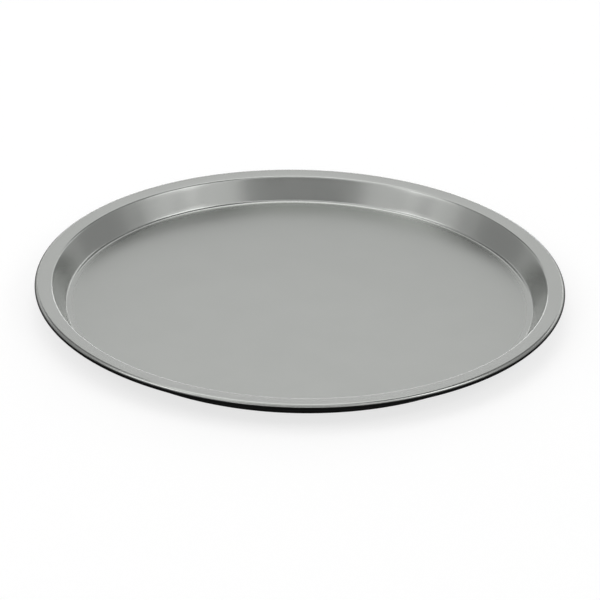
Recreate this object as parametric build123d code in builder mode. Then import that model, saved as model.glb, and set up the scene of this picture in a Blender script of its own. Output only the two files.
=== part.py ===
from build123d import *
from math import acos, ceil, cos, degrees, radians, sin, tan
import os

# A round pizza pan, pressed from one disc of sheet steel. Its edge is rolled around a ring of wire.
# Lengths are in millimetres and angles in degrees. The origin is the centre of the underside, +Z is up.

# Whole pan
pan_diameter = 330.0
pan_height = 16.2
sheet = 0.6

# Pressed profile, measured on the face that carries the food
flange_width = 10.7
flange_rise_angle = 5.0
wall_angle = 60.0
floor_bend = 3.0
mouth_bend = 2.0

# Rolled bead
wire_diameter = 3.0
wire_clearance = 0.1
curl_gap = 0.4

# The most that one straight flat turns. Flats stand for the section's arcs and stay within 0.06 of them.
flat_angle = 27.0


def turned(point, distance, angle):
    """The point at a distance and an angle from another, in the plane of the section."""
    return (point[0] + distance * cos(radians(angle)), point[1] + distance * sin(radians(angle)))


def arc(centre, radius, *angles):
    """The ends of the flats that stand for an arc, which passes exactly through each of the angles."""
    points = []
    for start, end in zip(angles, angles[1:]):
        flats = ceil(abs(end - start) / flat_angle)
        points += [turned(centre, radius, start + (end - start) * flat / flats) for flat in range(flats)]
    return points + [turned(centre, radius, angles[-1])]


# Bead: the wire sets its size, and the sheet turns until its cut edge nears the flange's underside
wire_radius = wire_diameter / 2
bead_radius = wire_radius + wire_clearance + sheet
bead_centre = (pan_diameter / 2 - bead_radius, pan_height - bead_radius)
curl_start = 90 + flange_rise_angle
curl_end = curl_start - 360 + degrees(acos((bead_radius - sheet - curl_gap) / bead_radius))

# Mouth: the bend where the wall turns out into the flange, which rises to the top of the bead
flange_end = turned(bead_centre, bead_radius, curl_start)
mouth_radius = pan_diameter / 2 - flange_width
mouth_height = flange_end[1] - (flange_end[0] - mouth_radius) * tan(radians(flange_rise_angle))
mouth_bend_run = mouth_bend * tan(radians(wall_angle - flange_rise_angle) / 2)
mouth_bend_start = turned((mouth_radius, mouth_height), -mouth_bend_run, wall_angle)
mouth_bend_centre = turned(mouth_bend_start, mouth_bend, wall_angle - 90)

# Floor: the bend where the flat floor turns up into the wall
floor_radius = mouth_radius - (mouth_height - sheet) / tan(radians(wall_angle))
floor_bend_run = floor_bend * tan(radians(wall_angle) / 2)
floor_bend_centre = (floor_radius - floor_bend_run, sheet + floor_bend)


def sheet_face(depth):
    """The line of the sheet's section at a depth below the face that carries the food."""
    return [
        (0, sheet - depth),
        *arc(floor_bend_centre, floor_bend + depth, -90, wall_angle - 90),
        *arc(mouth_bend_centre, mouth_bend - depth, wall_angle + 90, curl_start),
        *arc(bead_centre, bead_radius - depth, curl_start, 0, curl_end),
    ]


os.makedirs("parts", exist_ok=True)

# Pan: floor, wall, flange and curl in one sheet
with BuildPart() as pan:
    with BuildSketch(Plane.XZ):
        with BuildLine():
            Polyline(*sheet_face(0), *reversed(sheet_face(sheet)), close=True)
        make_face()
    revolve(axis=Axis.Z)
pan.part.label = "pan"
export_step(pan.part, "parts/pan.step")

# Rim wire: one ring inside the curl
with BuildPart() as rim_wire:
    with BuildSketch(Plane.XZ):
        with BuildLine():
            Polyline(*arc(bead_centre, wire_radius, 0, 360))
        make_face()
    revolve(axis=Axis.Z)
rim_wire.part.label = "rim_wire"
export_step(rim_wire.part, "parts/rim_wire.step")
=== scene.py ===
import bpy
import math
from mathutils import Matrix, Vector


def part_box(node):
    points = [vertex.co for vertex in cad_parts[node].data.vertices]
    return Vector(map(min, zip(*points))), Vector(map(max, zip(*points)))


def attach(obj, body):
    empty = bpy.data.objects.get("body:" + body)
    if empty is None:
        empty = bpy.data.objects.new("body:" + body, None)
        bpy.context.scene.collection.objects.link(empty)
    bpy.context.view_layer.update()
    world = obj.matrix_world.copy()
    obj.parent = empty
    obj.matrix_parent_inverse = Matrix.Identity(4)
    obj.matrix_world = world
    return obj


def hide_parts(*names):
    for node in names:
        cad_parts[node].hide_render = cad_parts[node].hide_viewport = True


# A pressed steel pizza pan: satin grey non-stick inside, black coating outside, edge rolled round a wire.
# Lengths are in metres and angles in degrees.

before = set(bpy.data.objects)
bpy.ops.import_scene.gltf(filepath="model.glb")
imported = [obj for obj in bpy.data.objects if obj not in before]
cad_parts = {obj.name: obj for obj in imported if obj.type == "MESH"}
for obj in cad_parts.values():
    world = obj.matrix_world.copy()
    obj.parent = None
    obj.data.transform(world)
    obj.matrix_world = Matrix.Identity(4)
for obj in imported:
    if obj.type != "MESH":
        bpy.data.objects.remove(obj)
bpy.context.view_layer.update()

# Sizes read from the frame
pan_low, pan_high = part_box("pan")
PAN_RADIUS = min(-pan_low.x, -pan_low.y, pan_high.x, pan_high.y)
PAN_HEIGHT = pan_high.z

# Sizes of the pressed profile
SHEET = 0.0006
FLANGE_WIDTH = 0.0107
FLANGE_RISE = 5
WALL_ANGLE = 60
FLOOR_BEND = 0.003
MOUTH_BEND = 0.002
BEAD_RADIUS = 0.0022
CURL_GAP = 0.0004

# Where the grey gives way to black, as an angle round the bead above its widest point
BLACK_START = 16

# Finish of the two coatings
GREY_TONES = ((0.437, 0.448, 0.432), (0.447, 0.458, 0.442))
FLOOR_ROUGHNESS = 0.3
PRESSED_ROUGHNESS = 0.22
IRONED_REACH = 0.004
BLACK_TONES = ((0.0045, 0.0048, 0.0046), (0.006, 0.0064, 0.0061))
BLACK_ROUGHNESS = 0.45
BLACK_SPECULAR = 0.12
ROUGHNESS_DRIFT = 0.01
PEEL_SIZE = 0.0012
PEEL_HEIGHT = 0.000004

# Finish of the drawn wire
STEEL_TONES = ((0.5, 0.5, 0.49), (0.58, 0.58, 0.57))
WIRE_ROUGHNESS = 0.3
DRAWN_SIZE = 0.00015
DRAWN_DULLING = 0.12
DRAWN_DEPTH = 0.000005

# Noise in the finishes, and the part of its range that is stretched to its full effect
MOTTLE_SIZE = 0.03
MOTTLE_DETAIL = 3
FINE_DETAIL = 2
NOISE_LOW = 0.3
NOISE_HIGH = 0.7

# Fineness of the meshes
TURNS = 720
ARC_STEP = 6
RUN_STEP = 0.0025
SHARP_ANGLE = 40

# Camera, with its lens and sensor in millimetres
CAMERA_AIM = (0.0002, -0.0298, 0.0162)
CAMERA_DISTANCE = 2.0
CAMERA_ELEVATION = 26.8
CAMERA_ROLL = 1.18
CAMERA_LENS = 195.2
CAMERA_SENSOR = 36

# Paper floor, a hair below the underside
FLOOR_REACH = 6.0
FLOOR_GAP = 0.0001
PAPER_GREY = 0.3
PAPER_ROUGHNESS = 0.9
PAPER_GLOW = 0.74

# Room and lights
ROOM_RADIANCE = 0.08
BACKDROP_RADIANCE = 0.85
LIGHT_DISTANCE = 2.0


def polar(point, distance, angle):
    """The point at a distance and an angle from another in the plane of the section."""
    a = math.radians(angle)
    return (point[0] + distance * math.cos(a), point[1] + distance * math.sin(a))


def arc(centre, radius, start, end):
    """Points along an arc of the section, both ends included."""
    steps = max(2, math.ceil(abs(end - start) / ARC_STEP))
    return [polar(centre, radius, start + (end - start) * i / steps) for i in range(steps + 1)]


def run(start, end):
    """Points along a straight stretch of the section, without its ends."""
    steps = max(1, math.ceil(math.dist(start, end) / RUN_STEP))
    return [tuple(a + (b - a) * i / steps for a, b in zip(start, end)) for i in range(1, steps)]


# Places in the section, worked out as the part's own source does
bead_centre = (PAN_RADIUS - BEAD_RADIUS, PAN_HEIGHT - BEAD_RADIUS)
curl_end = FLANGE_RISE - 270 + math.degrees(math.acos((BEAD_RADIUS - SHEET - CURL_GAP) / BEAD_RADIUS))
flange_end = polar(bead_centre, BEAD_RADIUS, 90 + FLANGE_RISE)
mouth_radius = PAN_RADIUS - FLANGE_WIDTH
mouth_height = flange_end[1] - (flange_end[0] - mouth_radius) * math.tan(math.radians(FLANGE_RISE))
mouth_run = MOUTH_BEND * math.tan(math.radians(WALL_ANGLE - FLANGE_RISE) / 2)
mouth_start = polar((mouth_radius, mouth_height), -mouth_run, WALL_ANGLE)
mouth_centre = polar(mouth_start, MOUTH_BEND, WALL_ANGLE - 90)
floor_radius = mouth_radius - (mouth_height - SHEET) / math.tan(math.radians(WALL_ANGLE))
floor_centre = (floor_radius - FLOOR_BEND * math.tan(math.radians(WALL_ANGLE) / 2), SHEET + FLOOR_BEND)


def sheet_face(depth):
    """One face of the sheet's section, from the axis to the cut edge inside the curl."""
    arcs = [
        arc(floor_centre, FLOOR_BEND + depth, -90, WALL_ANGLE - 90),
        arc(mouth_centre, MOUTH_BEND - depth, WALL_ANGLE + 90, 90 + FLANGE_RISE),
        arc(bead_centre, BEAD_RADIUS - depth, 90 + FLANGE_RISE, BLACK_START),
        arc(bead_centre, BEAD_RADIUS - depth, BLACK_START, curl_end)[1:],
    ]
    points = [(0.0, SHEET - depth)]
    for stretch in arcs:
        points += run(points[-1], stretch[0]) + stretch
    return points


def revolved(name, section):
    """A mesh that turns a section about the axis. Points on the axis become one vertex."""
    verts, rings = [], []
    for radius, height in section:
        if radius == 0:
            rings.append([len(verts)] * TURNS)
            verts.append((0.0, 0.0, height))
            continue
        rings.append(list(range(len(verts), len(verts) + TURNS)))
        for i in range(TURNS):
            a = 2 * math.pi * i / TURNS
            verts.append((radius * math.cos(a), radius * math.sin(a), height))
    faces = []
    for low, high in zip(rings, rings[1:]):
        for i in range(TURNS):
            j = (i + 1) % TURNS
            corners = [low[i], low[j], high[j], high[i]]
            faces.append([v for k, v in enumerate(corners) if v != corners[k - 1]])
    mesh = bpy.data.meshes.new(name)
    mesh.from_pydata(verts, [], faces)
    mesh.validate()
    mesh.shade_smooth()
    mesh.set_sharp_from_angle(angle=math.radians(SHARP_ANGLE))
    obj = bpy.data.objects.new(name, mesh)
    bpy.context.scene.collection.objects.link(obj)
    return obj


def new_material(name):
    """A material, its shader, and functions that add a node with its settings and link two sockets."""
    material = bpy.data.materials.new(name)
    material.use_nodes = True
    tree = material.node_tree

    def add(kind, inputs=None, **settings):
        node = tree.nodes.new(kind)
        for key, value in settings.items():
            setattr(node, key, value)
        for key, value in (inputs or {}).items():
            if isinstance(value, bpy.types.NodeSocket):
                tree.links.new(value, node.inputs[key])
            else:
                node.inputs[key].default_value = value
        return node

    return material, tree.nodes["Principled BSDF"], add, tree.links.new


def object_place(add):
    """A point's place in the object's own frame."""
    return add("ShaderNodeTexCoord").outputs["Object"]


def from_axis(add, place):
    """A place's distance from the pan's axis."""
    flat = add("ShaderNodeVectorMath", {0: place, 1: (1, 1, 0)}, operation="MULTIPLY").outputs["Vector"]
    return add("ShaderNodeVectorMath", {0: flat}, operation="LENGTH").outputs["Value"]


def noise(add, place, size, detail):
    """Even noise over a place, with lumps that are about as large as the size."""
    settings = {"Vector": place, "Scale": 1 / size, "Detail": detail}
    return add("ShaderNodeTexNoise", settings).outputs["Fac"]


def mottle(add):
    """The slow unevenness that every finish has."""
    return noise(add, object_place(add), MOTTLE_SIZE, MOTTLE_DETAIL)


def ramp(add, value, low, high, at_low, at_high):
    """A smooth step of a value from one level to another."""
    settings = {"Value": value, "From Min": low, "From Max": high, "To Min": at_low, "To Max": at_high}
    return add("ShaderNodeMapRange", settings, interpolation_type="SMOOTHSTEP").outputs["Result"]


def stretched(add, pattern, at_low, at_high):
    """A noise pattern stretched from one level to another."""
    return ramp(add, pattern, NOISE_LOW, NOISE_HIGH, at_low, at_high)


def mottled(add, tones):
    """A colour that drifts between two close tones."""
    first, second = tones
    settings = {"Factor": stretched(add, mottle(add), 0, 1), "A": (*first, 1), "B": (*second, 1)}
    return add("ShaderNodeMix", settings, data_type="RGBA").outputs["Result"]


def relief(add, pattern, depth):
    """The normal of a fine relief as deep as the depth."""
    return add("ShaderNodeBump", {"Height": pattern, "Distance": depth}).outputs["Normal"]


def orange_peel(add):
    """The fine relief of a sprayed film, as a normal."""
    return relief(add, noise(add, object_place(add), PEEL_SIZE, FINE_DETAIL), PEEL_HEIGHT)


def grey_coating():
    """Satin grey coating with metal flake, rougher on the flat floor than where the press ironed it."""
    material, shader, add, link = new_material("grey_coating")
    floor_end = floor_centre[0]
    radius = from_axis(add, object_place(add))
    pressed = ramp(add, radius, floor_end - IRONED_REACH, floor_end, FLOOR_ROUGHNESS, PRESSED_ROUGHNESS)
    drift = stretched(add, mottle(add), -ROUGHNESS_DRIFT, ROUGHNESS_DRIFT)
    roughness = add("ShaderNodeMath", {0: pressed, 1: drift}, operation="ADD").outputs["Value"]
    link(mottled(add, GREY_TONES), shader.inputs["Base Color"])
    link(roughness, shader.inputs["Roughness"])
    link(orange_peel(add), shader.inputs["Normal"])
    shader.inputs["Metallic"].default_value = 1
    return material


def black_coating():
    """Plain black coating, duller than the grey."""
    material, shader, add, link = new_material("black_coating")
    roughness = stretched(add, mottle(add), BLACK_ROUGHNESS - ROUGHNESS_DRIFT, BLACK_ROUGHNESS)
    link(mottled(add, BLACK_TONES), shader.inputs["Base Color"])
    link(roughness, shader.inputs["Roughness"])
    link(orange_peel(add), shader.inputs["Normal"])
    shader.inputs["Specular IOR Level"].default_value = BLACK_SPECULAR
    return material


def wire_steel():
    """Drawn steel wire. Its fine marks run along it, so they stay the same all round the pan."""
    material, shader, add, link = new_material("wire_steel")
    place = object_place(add)
    height = add("ShaderNodeSeparateXYZ", {0: place}).outputs["Z"]
    across = add("ShaderNodeCombineXYZ", {"X": from_axis(add, place), "Y": height}).outputs["Vector"]
    marks = noise(add, across, DRAWN_SIZE, FINE_DETAIL)
    roughness = stretched(add, marks, WIRE_ROUGHNESS, WIRE_ROUGHNESS + DRAWN_DULLING)
    link(mottled(add, STEEL_TONES), shader.inputs["Base Color"])
    link(roughness, shader.inputs["Roughness"])
    link(relief(add, marks, DRAWN_DEPTH), shader.inputs["Normal"])
    shader.inputs["Metallic"].default_value = 1
    return material


def make_pan():
    """The pressed sheet in one piece, grey up to the line on the bead and black from there on."""
    upper, lower = sheet_face(0), sheet_face(SHEET)
    pan = revolved("pan_sheet", upper + lower[::-1])
    pan.data.materials.append(grey_coating())
    pan.data.materials.append(black_coating())
    line = polar(bead_centre, BEAD_RADIUS, BLACK_START)
    last_grey = min(range(len(upper)), key=lambda i: math.dist(upper[i], line))
    black = [int(face // TURNS >= last_grey) for face in range(len(pan.data.polygons))]
    pan.data.polygons.foreach_set("material_index", black)
    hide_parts("pan")
    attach(pan, "root")


def dress_wire():
    """The CAD wire stays as it is, with a steel finish."""
    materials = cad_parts["rim_wire"].data.materials
    materials.clear()
    materials.append(wire_steel())


def make_camera():
    """A camera at the photograph's viewing angle, rolled a little about its line of sight."""
    elevation, roll = math.radians(CAMERA_ELEVATION), math.radians(CAMERA_ROLL)
    forward = Vector((0, math.cos(elevation), -math.sin(elevation)))
    right = Vector((1, 0, 0))
    up = right.cross(forward)
    turned_right = math.cos(roll) * right + math.sin(roll) * up
    turned_up = -math.sin(roll) * right + math.cos(roll) * up
    rotation = Matrix((turned_right, turned_up, -forward)).transposed()
    position = Vector(CAMERA_AIM) - CAMERA_DISTANCE * forward
    camera = bpy.data.objects.new("camera", bpy.data.cameras.new("camera"))
    camera.data.sensor_width = CAMERA_SENSOR
    camera.data.lens = CAMERA_LENS
    camera.matrix_world = Matrix.Translation(position) @ rotation.to_4x4()
    bpy.context.scene.collection.objects.link(camera)
    bpy.context.scene.camera = camera


def make_floor():
    """A wide sheet of pale paper that glows a little and doesn't mirror in the pan.
    It is clear from below, so that the underside can be seen."""
    mesh = bpy.data.meshes.new("floor")
    corners = [(-1, -1), (1, -1), (1, 1), (-1, 1)]
    verts = [(x * FLOOR_REACH, y * FLOOR_REACH, -FLOOR_GAP) for x, y in corners]
    mesh.from_pydata(verts, [], [(0, 1, 2, 3)])
    floor = bpy.data.objects.new("floor", mesh)
    floor.visible_glossy = False
    bpy.context.scene.collection.objects.link(floor)
    material, shader, add, link = new_material("floor_paper")
    shader.inputs["Base Color"].default_value = (PAPER_GREY, PAPER_GREY, PAPER_GREY, 1)
    shader.inputs["Roughness"].default_value = PAPER_ROUGHNESS
    shader.inputs["Emission Color"].default_value = (1, 1, 1, 1)
    shader.inputs["Emission Strength"].default_value = PAPER_GLOW
    below = add("ShaderNodeNewGeometry").outputs["Backfacing"]
    clear = add("ShaderNodeBsdfTransparent").outputs["BSDF"]
    paper = add("ShaderNodeMixShader", {0: below, 1: shader.outputs["BSDF"], 2: clear})
    link(paper.outputs["Shader"], material.node_tree.nodes["Material Output"].inputs["Surface"])
    # Rays find the glow by themselves, because aiming them at so near a lamp leaves a seam on the underside
    material.cycles.emission_sampling = "NONE"
    mesh.materials.append(material)


def make_world():
    """A dim white room as the pan sees it, and a pale backdrop as the camera sees it."""
    world = bpy.data.worlds.new("studio")
    bpy.context.scene.world = world
    world.use_nodes = True
    nodes, link = world.node_tree.nodes, world.node_tree.links.new
    room, backdrop = nodes["Background"], nodes.new("ShaderNodeBackground")
    for background, radiance in ((room, ROOM_RADIANCE), (backdrop, BACKDROP_RADIANCE)):
        background.inputs["Color"].default_value = (1, 1, 1, 1)
        background.inputs["Strength"].default_value = radiance
    mix = nodes.new("ShaderNodeMixShader")
    link(nodes.new("ShaderNodeLightPath").outputs["Is Camera Ray"], mix.inputs[0])
    link(room.outputs["Background"], mix.inputs[1])
    link(backdrop.outputs["Background"], mix.inputs[2])
    link(mix.outputs["Shader"], nodes["World Output"].inputs["Surface"])


def softbox(name, azimuth, elevation, width, height, radiance):
    """A soft light seen from the pan at an azimuth clockwise from +Y and an elevation, aimed at the pan.
    Its width and height are angles too, the part of the sky that it spans."""
    a, e = math.radians(azimuth), math.radians(elevation)
    back = Vector((math.sin(a) * math.cos(e), math.cos(a) * math.cos(e), math.sin(e)))
    data = bpy.data.lights.new(name, "AREA")
    data.shape = "RECTANGLE"
    data.size = 2 * LIGHT_DISTANCE * math.tan(math.radians(width) / 2)
    data.size_y = 2 * LIGHT_DISTANCE * math.tan(math.radians(height) / 2)
    data.energy = math.pi * data.size * data.size_y * radiance
    light = bpy.data.objects.new(name, data)
    light.location = back * LIGHT_DISTANCE
    light.rotation_mode = "QUATERNION"
    light.rotation_quaternion = back.to_track_quat("Z", "Y")
    light.visible_camera = False
    bpy.context.scene.collection.objects.link(light)


def softbox_pair(name, azimuth, elevation, width, height, right, left):
    """Two softboxes that mirror each other, each with its own radiance."""
    softbox(name + "_right", azimuth, elevation, width, height, right)
    softbox(name + "_left", -azimuth, elevation, width, height, left)


def make_lights():
    """Softboxes behind the pan, overhead, in front of it and on both sides."""
    softbox("back_low", 0, 4, 36, 8, 3.0)
    softbox("back", 0, 20, 36, 24, 0.75)
    softbox("back_mid", 0, 38, 24, 12, 0.95)
    softbox("back_high", 0, 51, 30, 14, 0.85)
    softbox("top_back", 0, 68, 40, 20, 1.55)
    softbox("top_left", -90, 66, 40, 20, 0.9)
    softbox("zenith", 0, 90, 28, 28, 1.0)
    softbox("front_low", 180, 24, 50, 14, 1.0)
    softbox("front", 180, 42, 50, 20, 0.25)
    softbox("front_high", 180, 60, 50, 16, 1.0)
    softbox_pair("corner_low", 36, 8, 36, 16, 0.48, 0.48)
    softbox_pair("corner", 36, 22, 36, 12, 1.25, 0.75)
    softbox_pair("corner_high", 36, 38, 30, 16, 0.12, 0.12)
    softbox_pair("side_low", 72, 14, 34, 28, 0.33, 0.33)
    softbox_pair("side_high", 70, 40, 30, 24, 0.4, 0.4)
    softbox_pair("side", 90, 35, 12, 34, 0.29, 0.29)
    softbox_pair("key", 108, 43, 24, 20, 2.0, 1.7)
    softbox_pair("key_front", 132, 43, 24, 20, 0.88, 0.8)
    softbox_pair("fill", 102, 25, 14, 16, 0.74, 0.74)
    softbox_pair("fill_mid", 120, 26, 24, 14, 0.38, 0.38)
    softbox_pair("fill_front", 144, 26, 24, 14, 0.74, 0.74)


make_camera()
make_pan()
dress_wire()
make_floor()
make_world()
make_lights()
bpy.context.scene.view_settings.view_transform = "Standard"
